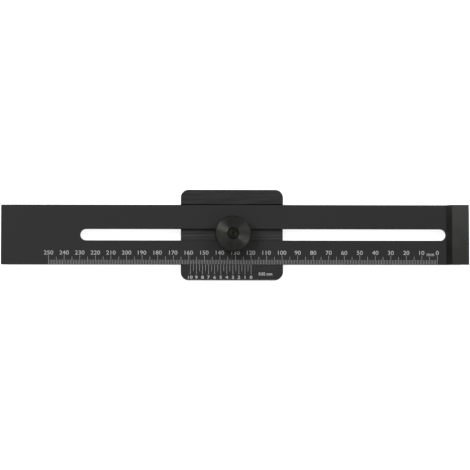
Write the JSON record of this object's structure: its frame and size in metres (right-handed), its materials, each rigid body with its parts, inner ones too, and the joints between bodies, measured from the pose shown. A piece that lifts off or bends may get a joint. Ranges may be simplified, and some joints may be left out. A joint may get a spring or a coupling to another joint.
{
  "type": "marking ruler",
  "caption": "Slotted, graduated marking beam with a scribing block at one end and a vernier stop slide that runs along it and is clamped by a knurled knob.",
  "frame": {"origin": "middle of the whole length and of the beam's width, on the plane that the slide's back rests on", "axes": "+X along the beam from its plain end to the scribing edge, +Y across the beam away from the graduation, +Z from the slide's back to the graduated face and the knob"},
  "size_m": [0.3012, 0.058, 0.028],
  "materials": {
    "beam_anodised": "matte black anodised, fine blasted grain, light grey laser-marked graduation",
    "slide_anodised": "matte black anodised over lengthwise milling, light grey laser-marked vernier",
    "block_steel": "hardened, ground and burnished black",
    "knob_steel": "turned and burnished black, straight knurl",
    "bolt_steel": "burnished black, oiled",
    "bush_steel": "ground bright steel",
    "fixing_steel": "blackened steel",
    "spring_steel": "blue-grey spring temper",
    "washer_brass": "turned brass"
  },
  "bodies": {
    "beam_assembly": {"beam": "beam_anodised", "scriber_block": "block_steel", "scriber_screw_1": "fixing_steel", "scriber_screw_2": "fixing_steel", "scriber_dowel_1": "fixing_steel", "scriber_dowel_2": "fixing_steel"},
    "slide_assembly": {"slide_body": "slide_anodised", "pressure_spring": "spring_steel", "clamp_bolt": "bolt_steel", "guide_bush": "bush_steel"},
    "washer": {"thrust_washer": "washer_brass"},
    "knob": {"clamp_knob": "knob_steel"}
  },
  "joints": [
    {"name": "slide_travel", "type": "slide", "parent": "beam_assembly", "child": "slide_assembly", "axis": [1, 0, 0], "range_m": [-0.0941, 0.1275]},
    {"name": "clamp_lift", "type": "slide", "parent": "slide_assembly", "child": "washer", "axis": [0, 0, 1], "range_m": [0, 0.001]},
    {"name": "knob_turn", "type": "hinge", "parent": "washer", "child": "knob", "pos_m": [-0.0018, 0, 0.0135], "axis": [0, 0, 1], "range_deg": [0, 360.5]}
  ],
  "couplings": [
    {"joint": "knob_turn", "follows": "clamp_lift", "rad_per_m": 6283.2}
  ]
}
